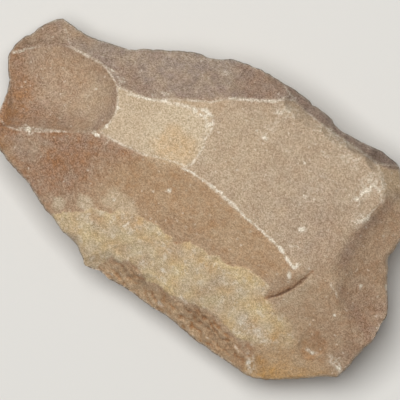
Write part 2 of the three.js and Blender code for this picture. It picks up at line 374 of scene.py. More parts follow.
def crushed_share(x, y, shares):
    """How much of the crushed strip's relief lies at each point."""
    ragged = jagged(x, y, 2.4, 0.6, 59)
    return np.maximum(shares["crushed_edge"], 0.6 * patch(CRUSHED_PATCH, *ragged, 1.5))


# %% The crack, the spall and the crushing
CRACK_CENTRE = (18.9, 1.5)
CRACK_RADIUS = 28.9
CRACK_FROM, CRACK_TO = -2, -47  # compass directions of its ends, from its centre
SLOT_DEPTH, SLOT_INSIDE, SLOT_OUTSIDE = 0.6, 0.55, 0.35
DIP_DEPTH, DIP_WIDTH = 0.32, 3
LIP_HEIGHT, LIP_PLACE, LIP_WIDTH = 0.16, 1.2, 1.6
SPALL, SPALL_RADIUS, SPALL_DEPTH = (61.2, -21), 4.8, 0.8
STEP_WIDTH, STEP_DEPTH, BLOCK_DEPTH = 2.6, 1.1, 0.9


def crack_place(x, y):
    """Distance outwards from the crack's arc, and how open the crack is there, from 0 to 1."""
    dx, dy = x - CRACK_CENTRE[0], y - CRACK_CENTRE[1]
    outwards = np.hypot(dx, dy) - CRACK_RADIUS + 0.12 * lumps(x, y, 2.2, 60)
    turn = np.degrees(np.arctan2(dy, dx))
    along = (turn - CRACK_FROM) / (CRACK_TO - CRACK_FROM)
    return outwards, ease(along / 0.3) * ease((1 - along) / 0.3)


def crack_relief(x, y):
    """The slot, the shallow dip inside its curve and the lip outside it."""
    out, opening = crack_place(x, y)
    slot = -SLOT_DEPTH * np.where(out < 0, ease(1 + out / SLOT_INSIDE), ease(1 - out / SLOT_OUTSIDE))
    dip = -DIP_DEPTH * ease(1 + out / DIP_WIDTH) * (out < 0)
    lip = LIP_HEIGHT * ease(1 - np.abs(out - LIP_PLACE) / LIP_WIDTH)
    return opening * (slot + (dip + lip))


def spall_relief(x, y):
    """A small round hollow, deepest on its near side."""
    far = np.hypot(x - SPALL[0], 0.75 * (y - SPALL[1])) + 0.3 * lumps(x, y, 2, 81)
    return SPALL_DEPTH * ease((SPALL_RADIUS - far) / 1.1) * ease((SPALL[1] + 4 - y) / 7)


def crushed_steps(x, y):
    """Broken steps and pits of the crushed strip, in millimetres, all of them hollows."""
    wx, wy = jagged(*jagged(x, y, 5, 1.5, 55), 1.9, 0.6, 57)
    terrace = (wy + 0.25 * wx) / STEP_WIDTH
    step = ease((terrace - np.floor(terrace)) / 0.3) - (terrace - np.floor(terrace))
    blocks = np.abs(lumps(wx, wy, 3.4, 76)) + 0.6 * np.abs(lumps(x, y, 1.7, 78))
    return STEP_DEPTH * step - BLOCK_DEPTH * blocks


# %% All the relief of the upper side
UPPER_ROUGHNESS = ((0.17, 14, 70), (0.07, 4.6, 71), (0.035, 1.8, 72))  # height, size, seed
CORTEX_ROUGHNESS = ((0.17, 3.7, 74), (0.07, 1.6, 75))
CORTEX_STANDS, CORTEX_PITS = 0.32, 0.4
SHOULDER_BLOW = (42, 0)
RIPPLE_HEIGHT = 0.07
PALE_DEPTH = 0.22
STREAK_HEIGHT = 0.12
CHIP_DEPTH, CHIP_REACH = 0.22, 0.35


def ripples(far, spacing, waver):
    """Waves that spread from a blow, at a distance from it."""
    return RIPPLE_HEIGHT * np.sin(2 * np.pi * far / spacing + waver)


def upper_relief(x, y, shares, gap):
    """What is added to the struck upper side, in millimetres."""
    skin = cortex_share(x, y)
    pits = np.maximum(0, lumps(x, y, 1.9, 73) - 0.3)
    cortex = rough(x, y, CORTEX_ROUGHNESS, CORTEX_STANDS) - CORTEX_PITS * pits
    far = np.hypot(x - SHOULDER_BLOW[0], y - SHOULDER_BLOW[1])
    shoulder = ripples(far, 4.4, 0.9 * lumps(x, y, 11, 80)) * ease((30 - far) / 20)
    streaks = STREAK_HEIGHT * lumps(0.2 * x, y + 0.06 * x, 1.1, 82)
    chips = np.maximum(0, lumps(x, y, 1.3, 83)) * np.exp(-((gap / CHIP_REACH) ** 2))
    return (
        rough(x, y, UPPER_ROUGHNESS)
        + skin * cortex
        - PALE_DEPTH * pale_share(x, y) * (shares["pale_scar"] + shares["plateau"])
        + crushed_share(x, y, shares) * crushed_steps(x, y)
        + shares["shoulder"] * (1 - skin) * shoulder
        + shares["back"] * streaks
        + crack_relief(x, y)
        - spall_relief(x, y)
        - CHIP_DEPTH * chips
    )


# %% [markdown]
# ## The battered edge
# Where the two sides meet, the edge is blunt. Use and the river have rounded it, and small flakes
# were nibbled from it. A nibble is one more dish, narrow and steep, set on the edge. A fixed seed
# places and sizes them, so that every run of the script makes the same stone.

# %% Nibbles along the edge
NIBBLE_SEED = 7
NIBBLE_GAPS = (5, 15)
NIBBLE_SIZES = ((2, 5.5), (0.25, 1.1), (44, 62))  # from and to: width, bite and slope
NIBBLE_LENGTH = 3  # widths
NIBBLE_HOLLOW = 1.6  # bites, and no nibble is cut deeper than this


def nibbles(seed):
    """Small dishes along the ring: each is the ring's place, its width, its bite and its slope."""
    dice = np.random.default_rng(seed)
    found, stop = [], 0.0
    while stop < len(ring) * RING_STEP - NIBBLE_GAPS[1]:
        stop += dice.uniform(*NIBBLE_GAPS)
        found.append((int(stop / RING_STEP), *(dice.uniform(*span) for span in NIBBLE_SIZES)))
    return found


def nibbled(side, x, y, height):
    """The side's height with its nibbles taken out."""
    facing = outward(ring)
    rim_height = struck(side, *ring.T)[0]
    for place, wide, bitten, slope in nibbles(NIBBLE_SEED + side):
        px, py = ring[place]
        close = np.hypot(x - px, y - py) < NIBBLE_LENGTH * wide
        scar = dict(
            at=(px, py, rim_height[place] - side * bitten),
            falls=np.degrees(np.arctan2(facing[place][1], facing[place][0])),
            slope=slope, long=NIBBLE_LENGTH * wide, wide=wide, depth=NIBBLE_HOLLOW * bitten,
        )
        cut = side * dish(scar, side, *jagged(x[close], y[close], 2.4, 0.3, 90))
        cut = side * np.maximum(cut, side * rim_height[place] - NIBBLE_HOLLOW * bitten)
        height[close] = side * np.minimum(side * height[close], side * cut)
    return height


# %% [markdown]
# ## The underside
# Its middle is worn flat, so the stone lies still. Big flakes were struck from all round the edge
# towards that flat. It gets long ripples and gentle waves, and less small detail than the top.

# %% Both finished sides
LEAST_THICKNESS = 0.8
UNDER_ROUGHNESS = ((0.14, 13, 100), (0.06, 4.4, 101), (0.02, 1.9, 102))  # height, size, seed
UNDER_SET_IN = 0.2
FLAT_MIDDLE = 6  # along x


def under_relief(x, y, shares):
    """What is added to the struck underside, in millimetres, always into the stone."""
    far = np.hypot(x - FLAT_MIDDLE, y)
    waves = ripples(far, 5.6, 1.6 * lumps(x, y, 15, 103)) * ease((far - 24) / 14)
    return (UNDER_SET_IN + rough(x, y, UNDER_ROUGHNESS) + waves) * (1 - 0.8 * shares["flat"])


def both_sides(x, y):
    """Upper and lower height, and the upper and lower scars' shares and gaps."""
    top, upper_shares, upper_gap = struck(UPPER, x, y)
    low, under_shares, under_gap = struck(UNDER, x, y)
    top = nibbled(UPPER, x, y, top + upper_relief(x, y, upper_shares, upper_gap))
    low = nibbled(UNDER, x, y, np.maximum(0, low + under_relief(x, y, under_shares)))
    low = np.minimum(low, top - LEAST_THICKNESS)
    return top, low, (upper_shares, upper_gap), (under_shares, under_gap)


# %% [markdown]
# ## A skin of triangles
# The points of each side lie on a triangular lattice, finer on the side that is looked at. Points
# near an arris or the crack are moved onto it: a crease is only crisp if vertices lie on it. A
# constrained Delaunay triangulation then joins the lattice to the outline, so that the two sides
# share one closed rim.

# %% Lattice points
UPPER_SPACING = 0.46
UNDER_SPACING = 0.95
RIM_ROOM = 0.5  # spacings
HALF_LENGTH, HALF_WIDTH = 79, 46  # of the lattice: a little more than the stone's
OFF_PLACE = 0.13  # spacings
SNAP = 0.45  # spacings
RIM_KEPT = 1.2
CRACK_LINES = (0, 0.45)  # outwards from the crack's arc: its bottom and the foot of its lip


def lattice(spacing, seed):
    """Points on a triangular lattice inside the ring, each a little off its place."""
    rows = np.arange(-HALF_WIDTH, HALF_WIDTH, spacing * np.sqrt(3) / 2)
    columns = np.arange(-HALF_LENGTH, HALF_LENGTH, spacing)
    x = columns[None, :] + np.where(np.arange(len(rows)) % 2, spacing / 2, 0)[:, None]
    y = np.broadcast_to(rows[:, None], x.shape)
    shifts = np.random.default_rng(seed).uniform(-OFF_PLACE, OFF_PLACE, (x.size, 2))
    points = np.column_stack((x.ravel(), y.ravel())) + shifts * spacing
    points = points[within(ring, *points.T)]
    return points[beside(closed_ring, *points.T) > RIM_ROOM * spacing]


def drawn_to_arrises(points, side, spacing):
    """Points close to an arris are moved onto it."""
    dx, dy, length = arris_way(side, *points.T)
    moves = (length < SNAP * spacing) & (beside(closed_ring, *points.T) > RIM_KEPT)
    return points + np.column_stack((dx, dy)) * moves[:, None]


def drawn_to_crack(points, spacing):
    """Points close to the crack's bottom or the foot of its lip are moved onto them."""
    for level in CRACK_LINES:
        out, opening = crack_place(*points.T)
        away = points - np.array(CRACK_CENTRE)
        away /= np.hypot(*away.T)[:, None]
        moves = (np.abs(out - level) < SNAP * spacing) & (opening > 0)
        points = points - away * ((out - level) * moves)[:, None]
    return points


upper_points = drawn_to_arrises(lattice(UPPER_SPACING, 110), UPPER, UPPER_SPACING)
upper_points = drawn_to_crack(upper_points, UPPER_SPACING)
under_points = drawn_to_arrises(lattice(UNDER_SPACING, 111), UNDER, UNDER_SPACING)
print(f"lattice: {len(upper_points)} points above, {len(under_points)} below")


# %% Triangles of one side
def skin(points):
    """Triangles that join the ring's points and then these, all anticlockwise from above."""
    flat = [Vector(p) for p in np.vstack((ring, points))]
    rim = [(i, (i + 1) % len(ring)) for i in range(len(ring))]
    made, _, faces, came_from, _, _ = delaunay_2d_cdt(flat, rim, [], 1, 1e-5)
    source = np.array([origin[0] if origin else -1 for origin in came_from])
    corners = source[np.array(faces)]
    print(f"skin: {len(made)} points, {len(corners)} triangles, {np.sum(source < 0)} added")
    return corners[(corners >= 0).all(axis=1)]


upper_faces = skin(upper_points)
under_faces = skin(under_points)

# %% [markdown]
# ## Rounding the rim
# The rim is rounded over a millimetre or so. On the upper side a point at distance d from the
# outline sinks as a quarter circle does, and on the underside it rises the same way. Between the
# two runs a low wall, a few rows high, with a little roughness of its own.

# %% Points of the whole stone
RIM_ROUNDING = 1.1
THIN_ROUNDING = 0.42  # of the thickness, where the stone is thin
WALL_ROWS = 6
WALL_HOLLOW, WALL_ROUGHNESS = 0.22, ((0.2, 2.6, 121), (0.1, 1.1, 122))  # height, size, seed


def sink(distance, thickness, x, y):
    """How far the rounded rim lies inside the unrounded one."""
    radius = RIM_ROUNDING * (1 + 0.5 * lumps(x, y, 5, 120))
    radius = np.minimum(radius, THIN_ROUNDING * thickness)
    inside = np.clip(radius - distance, 0, radius)
    return radius - np.sqrt(radius**2 - inside**2)


def surface(points):
    """Places and finished heights of the ring's points and then these, and their scars."""
    x, y = np.vstack((ring, points)).T
    distance = np.r_[np.zeros(len(ring)), beside(closed_ring, *points.T)]
    top, low, above, below = both_sides(x, y)
    rounding = sink(distance, top - low, x, y)
    return x, y, distance, top - rounding, low + rounding, above, below


ux, uy, upper_distance, upper_z, _, upper_scars_at, _ = surface(upper_points)
lx, ly, under_distance, _, under_z, _, under_scars_at = surface(under_points)
count = len(ring)
upper_vertices = np.column_stack((ux, uy, upper_z))
under_vertices = np.column_stack((lx, ly, under_z))

wall_rows = []
for row in range(1, WALL_ROWS):
    down = row / WALL_ROWS
    line = upper_vertices[:count] * (1 - down) + under_vertices[:count] * down
    along = np.arange(count) * RING_STEP
    hollow = np.maximum(0, rough(along, line[:, 2], WALL_ROUGHNESS, WALL_HOLLOW))
    line[:, :2] -= outward(ring) * (np.sin(np.pi * down) * hollow)[:, None]
    wall_rows.append(line)
print(f"rim: {np.ptp(upper_z[:count]):.1f} mm from its lowest to its highest place")

# %% One closed mesh
under_start = len(upper_vertices) + count * (WALL_ROWS - 1)
vertices = np.vstack((upper_vertices, *wall_rows, under_vertices))


def row_start(row):
    """Index of the first vertex of one row of the wall, from the upper rim to the lower one."""
    if row == 0:
        return 0
    return under_start if row == WALL_ROWS else len(upper_vertices) + count * (row - 1)


here = np.arange(count)
following = (here + 1) % count
wall_faces = []
for row in range(WALL_ROWS):
    above, below = row_start(row), row_start(row + 1)
    wall_faces.append(np.column_stack((below + here, below + following, above + following)))
    wall_faces.append(np.column_stack((below + here, above + following, above + here)))
faces = np.vstack((upper_faces, *wall_faces, under_faces[:, ::-1] + under_start))

mesh = bpy.data.meshes.new("knapped_stone")
mesh.from_pydata((vertices * MM).tolist(), [], faces.tolist())
mesh.polygons.foreach_set("use_smooth", np.ones(len(faces), bool))
mesh.validate()
print(f"stone: {len(vertices)} vertices, {len(faces)} triangles")

# %% [markdown]
# ## Stains, scar by scar
# The scars are thousands of years old, but not all the same age, and they lay in different soil.
# So each has its own tone. Six things tint the stone: grey-purple **patina**, brown **iron**,
# **pale** leached stone, yellow **cortex**, orange **ochre**, and whitish **bruise** where blows
# or knocks crushed the grains; the whitish stain also paints a highlight on the spall's rim, and the
# pale one paints highlights on the crushed tops and the crack's lip. **Dirt and shade** darkens the
# deepest places: some of it is dirt, and in the crack, the crushed pits, the butt's valley, the
# spall's rim and under the back edge it is painted shade. How much of each lies at a vertex is kept
# in an attribute, which the material reads.

# %% Tone of each scar
STAINS = ("patina", "iron", "pale", "cortex", "ochre", "bruise_and_highlight", "dirt_and_shade")
UPPER_TONES = {
    "tip": dict(patina=0.56, iron=0.25, ochre=0.1),
    "tip_bevel": dict(patina=0.85, iron=0.22, ochre=0.16, dirt_and_shade=0.08),
    "back_strip": dict(patina=0.78, iron=0.1, ochre=0.03),
    "pale_scar": dict(patina=0.06, iron=0.08, ochre=0.06),
    "plateau": dict(patina=0.15, iron=0.17),
    "back": dict(patina=1.0, iron=0.22, dirt_and_shade=0.2),
    "back_corner": dict(patina=0.08, iron=0.06, ochre=0.15),
    "butt_hollow": dict(patina=0.24, iron=0.44, ochre=0.06),
    "shoulder": dict(patina=0.04, iron=0.42, ochre=0.05),
    "flank": dict(patina=0.0, iron=0.48, ochre=0.14),
    "tip_flank": dict(patina=0.7, iron=0.62),
    "cortex": dict(patina=0.06, iron=0.44),
    "crushed_edge": dict(patina=0.12, iron=0.75, ochre=0.16),
    "near_corner": dict(patina=0.0, iron=0.03, ochre=0.52),
}
UNDER_TONES = {
    "tip": dict(patina=0.45, iron=0.35),
    "tip_corner": dict(patina=0.3, iron=0.55),
    "back_strip": dict(patina=0.55, iron=0.1),
    "back_middle": dict(patina=0.25, iron=0.25),
    "back": dict(patina=0.5, iron=0.2),
    "butt": dict(patina=0.3, iron=0.45),
    "butt_edge": dict(patina=0.2, iron=0.4),
    "corner": dict(patina=0.25, iron=0.4, ochre=0.3),
    "near": dict(patina=0.15, iron=0.5),
    "tip_flank": dict(patina=0.2, iron=0.6),
    "flat": dict(patina=0.1, iron=0.25, pale=0.2),
    "rest_tip": dict(patina=0.2, iron=0.35),
    "rest_back": dict(patina=0.2, iron=0.25),
    "rest_butt": dict(patina=0.2, iron=0.3),
    "rest_near": dict(patina=0.15, iron=0.35),
}


def scar_tones(tones, shares):
    """The amount of every stain, from the scar that each point belongs to."""
    return {
        stain: sum(share * tones[scar].get(stain, 0) for scar, share in shares.items())
        for stain in STAINS
    }


# %% [markdown]
# Some stains don't keep to a scar: the iron wash at the tip, the orange spot on the pale scar, the
# ochre on the near corner. They are soft patches, each a loop of places with a blur, and a patch
# may also take a stain away. Finer marks are strokes and specks: scuffed lines, knocks and dots.
# A few patches and marks paint light and shade instead: painted shade in the butt's valley, at the
# spall's lower rim, under the back edge and in the crack, and painted highlights on the crack's lip
# and the spall's rim. All get ragged borders, as real stains have, and bruises lie in crumbs of
# crushed grains.

# %% Patches and strokes
PATCHES = [  # blur, amounts, loop
    # the tip
    (9, dict(patina=0.4, iron=0.4), [(-80, 6), (-69, 0), (-64, -6), (-61, -16), (-64, -26),
        (-80, -24)]),
    (9, dict(dirt_and_shade=0.1), [(-80, 14), (-69, 2), (-64, -6), (-61, -16), (-64, -26), (-80, -24)]),
    (2.4, dict(dirt_and_shade=0.2), [(-75, 4), (-70, 8.6), (-64, 12.4), (-61, 13.4), (-66, 13), (-72, 9),
        (-76, 6)]),
    (8, dict(patina=0.35, iron=0.22), [(-68, -8), (-58, -8), (-46, -9.5), (-58, -17), (-66, -22)]),
    (7, dict(patina=-0.25, iron=-0.12), [(-50, 9), (-42, 9), (-41.5, -3), (-50, -3)]),
    (6, dict(patina=-0.2, iron=0.15), [(-64, 7), (-50, 12), (-50, 6), (-60, 4)]),
    # the strip along the back
    (6, dict(patina=0.18, iron=0.22), [(-8, 30), (6, 37), (8, 46), (-12, 44)]),
    (4, dict(ochre=0.15), [(-70, 21), (-56, 21), (-56, 16.4), (-66, 15.5)]),
    (5, dict(iron=0.16), [(-45, 17), (-38, 11), (-32, 13.5), (-33, 17), (-40, 19)]),
    (4, dict(iron=-0.12), [(-34, 30), (-12, 42), (-16, 34), (-34, 24)]),
    # the flat top and the pale scar
    (16, dict(patina=0.17), [(26, 22), (50, 22), (50, 0), (30, 0)]),
    (10, dict(iron=0.12), [(40, 16), (52, 16), (52, 0), (40, 0)]),
    (10, dict(patina=-0.1), [(-6, 8), (14, 4), (12, 30), (-6, 26)]),
    (2, dict(patina=-0.2, iron=0.14), [(-26, 15.6), (-8, 21.5), (-8, 30), (-24, 18)]),
    (6, dict(pale=0.05), [(16, 36), (52, 36), (50, 39), (20, 40)]),
    (6, dict(pale=0.35), [(-24, 17), (-14, 18.5), (-8, 16), (-6.4, 9), (-8, 1), (-20, -3), (-24, 4)]),
    (3.4, dict(ochre=0.26), [(-20.5, 9.5), (-17, 11.5), (-8.5, 11), (-6.4, 8), (-7.4, 2.5), (-14, -0.4),
        (-20.5, 1)]),
    # the hollow at the butt
    (8, dict(patina=0.4), [(62, 3), (78, 4), (78, -12), (68, -9)]),
    (3.2, dict(patina=0.4), [(54.6, 36), (58, 37), (57, 28), (55.6, 20), (55.2, 12), (57, 4), (53.5, 5),
        (51.8, 12), (52.8, 20), (53.8, 29)]),
    # dirt and painted shade in the valley under the flat top's edge
    (2.4, dict(dirt_and_shade=0.08), [(55, 36), (58, 36), (56.6, 28), (55, 20), (54, 14), (52.6, 16),
        (53.6, 26)]),
    # the long flank
    (7, dict(patina=0.22, iron=0.12), [(-48, -12), (-38, -10), (-34, -16), (-34, -27), (-46, -24)]),
    (6, dict(patina=-0.18, iron=-0.26), [(-60, -20), (-49, -15), (-48, -26), (-58, -28)]),
    (5, dict(ochre=0.12), [(-66, -23), (-58, -26), (-50, -30), (-60, -34), (-70, -28)]),
    (10, dict(iron=-0.14), [(12, -2), (28, -3), (28, -12), (14, -12)]),
    (7, dict(patina=0.14), [(-20, -13), (20, -12), (20, -18), (-20, -20)]),
    # pale lobes above the old skin
    (3, dict(pale=0.35, iron=-0.25), [(-23, -17), (-13, -17), (-11, -20.5), (-18, -24), (-23.5, -23)]),
    (1.6, dict(pale=0.55), [(-31, -25.5), (-29, -24.4), (-26.6, -24.6), (-24.6, -25.6), (-25, -28.5),
        (-29.5, -28.8)]),
    (1.6, dict(pale=0.5), [(-37, -31.6), (-35.4, -30), (-33.4, -30.4), (-32.8, -32.6), (-34, -34.4),
        (-36.6, -34)]),
    # the shoulder and its spall
    (7, dict(patina=0.25), [(58, -9), (68, -12), (68, -19), (60, -19)]),
    (2.4, dict(patina=0.3), [(56, -1), (60, -3.6), (66, -7), (77, -10.4), (77, -7), (66, -3),
        (58, 0.6)]),
    (2, dict(iron=0.16), [(57, -18), (61, -16.4), (65.4, -18), (66, -22), (64, -25.6), (61, -26.6),
        (58, -25), (56.6, -21)]),
    # painted shade along the spall's steep lower rim
    (1.2, dict(dirt_and_shade=0.1), [(58.2, -24), (60, -25.6), (62.6, -26.2), (64.6, -25.2), (64.2, -26.6),
        (61, -27.6), (58, -26)]),
    # the back corner
    (1.6, dict(patina=0.8, dirt_and_shade=0.2), [(40, 39.9), (46, 40), (50, 41), (53, 43), (50, 46), (40, 46)]),
    # the butt, and beside the crack
    (7, dict(patina=0.55), [(69, -11), (78, -12), (78, -24), (69, -22)]),
    (5, dict(iron=0.12), [(59, -17), (67, -18), (67, -25), (59, -25)]),
    (5, dict(iron=-0.12), [(47, -4), (50, -4), (50, -19), (44, -19)]),
    # painted highlight on the lit lip beside the crack
    (2, dict(pale=0.16), [(47.6, -3), (49.4, -4), (48.6, -12), (45, -18), (43.6, -17), (46.4, -10)]),
    (1.6, dict(iron=0.25), [(44.6, -8), (45.8, -7), (44.9, -10.4), (42.4, -15), (39.8, -18),
        (39.6, -15.6), (43, -12)]),
    # the near corner
    (5, dict(ochre=0.22), [(52, -44), (50, -38), (58, -32), (76, -27), (66, -40)]),
    (5, dict(iron=0.4), [(44, -35), (52, -34), (54, -40), (46, -43)]),
    (4, dict(dirt_and_shade=0.1), [(42, -35.6), (50, -35), (53, -40), (46, -42)]),
    (3, dict(ochre=0.2), [(38, -17.5), (44, -18.6), (44, -22), (38, -21)]),
    # knocked places
    (2, dict(bruise_and_highlight=1.0), [(-16, 18.6), (-12, 21.6), (-9.4, 21.6), (-7, 17), (-7.6, 14.6),
        (-10.4, 18.6)]),
    (3, dict(bruise_and_highlight=0.7), [(6.6, 34), (9, 37.6), (13, 38.4), (12.6, 36.4), (9.4, 34)]),
    (4, dict(bruise_and_highlight=0.6), [(44, 36), (52, 34), (52.4, 31), (48.6, 31.6), (46.6, 25), (44.4, 25)]),
    (5, dict(bruise_and_highlight=0.45), [(34, 36.4), (40, 37.6), (40, 33.4), (33, 33.4)]),
    (3, dict(bruise_and_highlight=0.7), [(49.4, 22), (53, 24), (52.6, 21), (50, 18.6), (48.6, 18.4)]),
    (3, dict(bruise_and_highlight=0.45), [(20, 38.6), (24, 40), (34, 38.6), (32, 36.4), (22, 37)]),
    (3, dict(bruise_and_highlight=0.6), [(36, -29), (49, -28.4), (48.6, -31), (37, -30.8)]),
    (3, dict(bruise_and_highlight=0.75), [(68, -21.6), (75, -22.8), (75, -25), (70, -24)]),
    (5, dict(bruise_and_highlight=0.2), [(30, 26), (34, 25), (32.6, 13), (29.6, 13)]),
    (4, dict(bruise_and_highlight=0.2), [(6.6, 26), (9.4, 25), (10.6, 34), (7.6, 34)]),
    (3, dict(bruise_and_highlight=0.6), [(45, -36.6), (48, -37), (51, -41), (48, -42)]),
    # under the back edge: the dark strips are painted shade below the arris, and a pale line runs along
    # it
    (1.6, dict(dirt_and_shade=0.25), [(25, 39.6), (30, 38.6), (36, 38.4), (41, 39.2), (46, 39.4), (41, 40.2),
        (33, 39.6), (27, 40.4)]),
    (1.4, dict(dirt_and_shade=0.2), [(7, 40.6), (13, 40.8), (18, 40), (18, 39), (12, 39.4)]),
    (0.7, dict(pale=0.35), [(24, 40.9), (28, 40.1), (35, 39.9), (46, 40.7), (46, 40.1), (40, 39.8),
        (35, 39.4), (28, 39.6), (24, 40.4)]),
    # the crushed edge
    (4, dict(dirt_and_shade=0.04, iron=0.14), [(20, -33.6), (32, -33.4), (46, -37), (52, -44), (20, -44)]),
    (2, dict(dirt_and_shade=0.12), [(-10, -36.6), (-4, -34.8), (4, -36), (14, -35.4), (14, -37.6), (-8, -38.6)]),
    (3, dict(dirt_and_shade=0.18), [(-6, -37.2), (2, -36.2), (9, -37.4), (8, -38.6), (-4, -39)]),
    (3, dict(dirt_and_shade=0.22), [(19, -35.4), (26, -35), (32, -36.2), (42, -38.4), (44, -40.4), (32, -39.4),
        (20, -38.4)]),
]
STROKES = {  # stain: amount, width, line
    "patina": [
        (0.2, 3, [(-40.5, 10), (-38.6, 5), (-38.4, 0), (-39.4, -4)]),
        (0.2, 1.6, [(-73.5, 4), (-67, 10), (-61, 14)]),
        (0.4, 1.4, [(-55, 15.2), (-44, 16)]),
    ],
    "dirt_and_shade": [
        # painted shadow in the hinge crack, with some dirt
        (0.5, 0.7, [(46.6, -5), (45, -10.6), (42.6, -15), (40.4, -17.6)]),
    ],
    "iron": [
        (0.5, 1, [(47.4, -2), (46.4, -5.5), (45, -10.6), (42.6, -15), (39.8, -18.2)]),
        (0.25, 1.8, [(60, -25.8), (62, -27), (64.4, -26)]),
        (0.35, 0.9, [(7, -18.4), (5.4, -20.8), (4.4, -20.4)]),
        (0.35, 0.9, [(18, -16.8), (22.6, -17.1), (25, -16.6)]),
    ],
    "bruise_and_highlight": [
        (0.5, 0.6, [(-66.5, 17), (-64, 15), (-62, 13.2)]),
        (0.75, 0.6, [(-61, 12.7), (-55, 13.4), (-49, 14.2), (-45, 14.5)]),
        (0.5, 0.5, [(-45, 14.5), (-42, 13.4), (-39.6, 10.8)]),
        (0.6, 0.8, [(-60, -19), (-54, -15.2), (-47, -11.4)]),
        (0.6, 2.2, [(-58.6, -17.2), (-55.8, -18.4)]),
        (0.9, 0.8, [(-36.8, 5.7), (-36.7, 5)]),
        (0.9, 0.8, [(-36.4, -1.4), (-36.3, -2.2)]),
        (0.9, 1, [(-38.6, -6.2), (-36.6, -6)]),
        (0.7, 0.6, [(-41, 12.8), (-40, 14)]),
        (0.9, 0.6, [(-75.8, 0.6), (-74.6, 1.6), (-73.6, 2.8)]),
        (0.6, 0.8, [(-69.7, 1.4), (-69.4, 1)]),
        (1.1, 0.9, [(-37, 10.8), (-30.4, 13.6), (-25, 16.1)]),
        (0.8, 1.5, [(-25, 16.1), (-21, 17.8), (-15.6, 19.8)]),
        (0.6, 0.9, [(-7, 14), (-5.8, 9.5), (-6, 4), (-7, 2)]),
        (0.8, 0.9, [(-8, 29.2), (-1, 33.3), (2.6, 35.4), (5.4, 37.6), (6.8, 40.4)]),
        (0.7, 1.5, [(-14.8, 34.8), (-13.2, 36.4)]),
        (0.5, 1.2, [(-27, 18), (-25.6, 18.8)]),
        (1.1, 0.8, [(-8, 1.1), (-4, 1.7), (0, 2), (7, 1.9), (12, 1.2), (18.6, -0.1)]),
        (0.9, 0.8, [(18.6, -0.1), (26.6, -0.8), (32.6, -1.6), (36.6, -3.1), (40.6, -4.6)]),
        (1.2, 1.3, [(33, -1.8), (35.4, -2.3)]),
        (1.1, 1.3, [(37.4, -3.4), (39, -4.2)]),
        (1.3, 1.2, [(40.6, -4.5), (41.8, -4.6), (42.2, -3)]),
        (1.4, 1.3, [(41.3, -6.9), (42.2, -8.4)]),
        (0.5, 0.6, [(36, 0.4), (38, 1.6), (42, 2.2)]),
        (0.8, 1.3, [(8.4, 25.2), (9.6, 25)]),
        (0.6, 1.5, [(27, 32.2), (29.4, 32)]),
        (0.8, 2.2, [(36.2, 7.1), (37, 7.7)]),
        (0.8, 1, [(49.8, 33), (47.4, 33), (46.8, 30), (46, 27.4), (45.6, 25.6)]),
        (0.5, 0.6, [(40.4, 27), (41.4, 26)]),
        (0.6, 0.6, [(44.8, 39.4), (48, 37.6), (50.6, 35.6)]),
        (0.7, 0.6, [(55, -2.4), (57, -3), (59.4, -4.4)]),
        (0.6, 0.7, [(63.8, -6.2), (64.2, -6.4)]),
        (0.6, 0.8, [(61.4, -9.8), (62, -9.9)]),
        (0.6, 1, [(63.4, 3.4), (63.8, 2.2)]),
        (0.7, 0.9, [(70.4, 8), (71, 7.2)]),
        # painted highlight on the spall's rim
        (0.9, 1.3, [(61, -24.6), (63, -24.4), (64.2, -23.8)]),
        (0.6, 1, [(40.8, -37.4), (42.4, -38)]),
        (0.6, 1.4, [(11.6, -40.2), (13.4, -40.4)]),
        (0.5, 1.2, [(16.6, -34.6), (19, -34.8)]),
        (0.8, 1, [(-12, -24.2), (-12.6, -26)]),
        (0.7, 1, [(5.8, -30.4), (7.2, -30.6)]),
        (0.7, 0.7, [(12.4, -26), (13, -26.6)]),
    ],
}

SPECKS = [  # x, y and radius of single white knocks
    (-7, -7.5, 0.85), (24.6, 26, 0.6), (-20.2, -20.5, 0.6), (8.8, 25.2, 0.55), (36.5, 7.3, 0.8),
    (5.4, 25.6, 0.4), (18.6, -0.4, 0.5), (0.8, 26.4, 0.4), (-36.9, 5.2, 0.6), (-36.4, -2, 0.6),
    (-37.6, -6.1, 0.8), (60.2, 21, 0.4), (61.6, -10, 0.5), (63.4, 3, 0.5), (41.6, -7.6, 0.8),
    (41.4, -4.6, 0.9), (34.6, -2.2, 0.7), (38.4, -3.9, 0.7), (52.2, 22.4, 0.9), (47, 30.4, 0.8),
    (6.4, -30.4, 0.6), (12.6, -26.2, 0.4), (-57.2, -17.6, 0.9), (47.4, -39.4, 0.8), (73.2, -23.8, 0.8),
    # the speck at (63, -24.4) is a painted highlight on the spall's rim
    (63, -24.4, 0.6), (-2.4, 12.6, 0.35), (30.6, 17, 0.4), (14.6, 31, 0.4), (-46.6, 6.4, 0.35),
]


# %% Spreading them
PATCH_SEED = 130  # the first of one for every stain of every patch
FULL = 1.25  # a stroke is at its full strength over the inner quarter of its width
SPECK, RANDOM_SPECK, RANDOM_DIRT = 0.85, 0.4, 0.16


def more(stains, stain, amount):
    """Adds an amount to one stain."""
    stains[stain] = stains[stain] + amount


def dapple(x, y):
    """Crushed grains lie in crumbs: 0 between them and 1 in them."""
    return ease(0.55 + 1.1 * lumps(x, y, 1.5, 171) + 0.8 * lumps(x, y, 0.8, 172))


def spread_patches(stains, x, y, crumbs):
    """Adds every patch to the stains of the upper side."""
    seed = PATCH_SEED
    for blur, amounts, loop in PATCHES:
        for stain, amount in amounts.items():
            ragged = jagged(*jagged(x, y, 6, min(1.6, 0.3 * blur), seed), 1.8, 0.4, 160)
            broken = crumbs if stain == "bruise_and_highlight" else 1
            more(stains, stain, amount * patch(loop, *ragged, blur) * broken)
            seed += 1


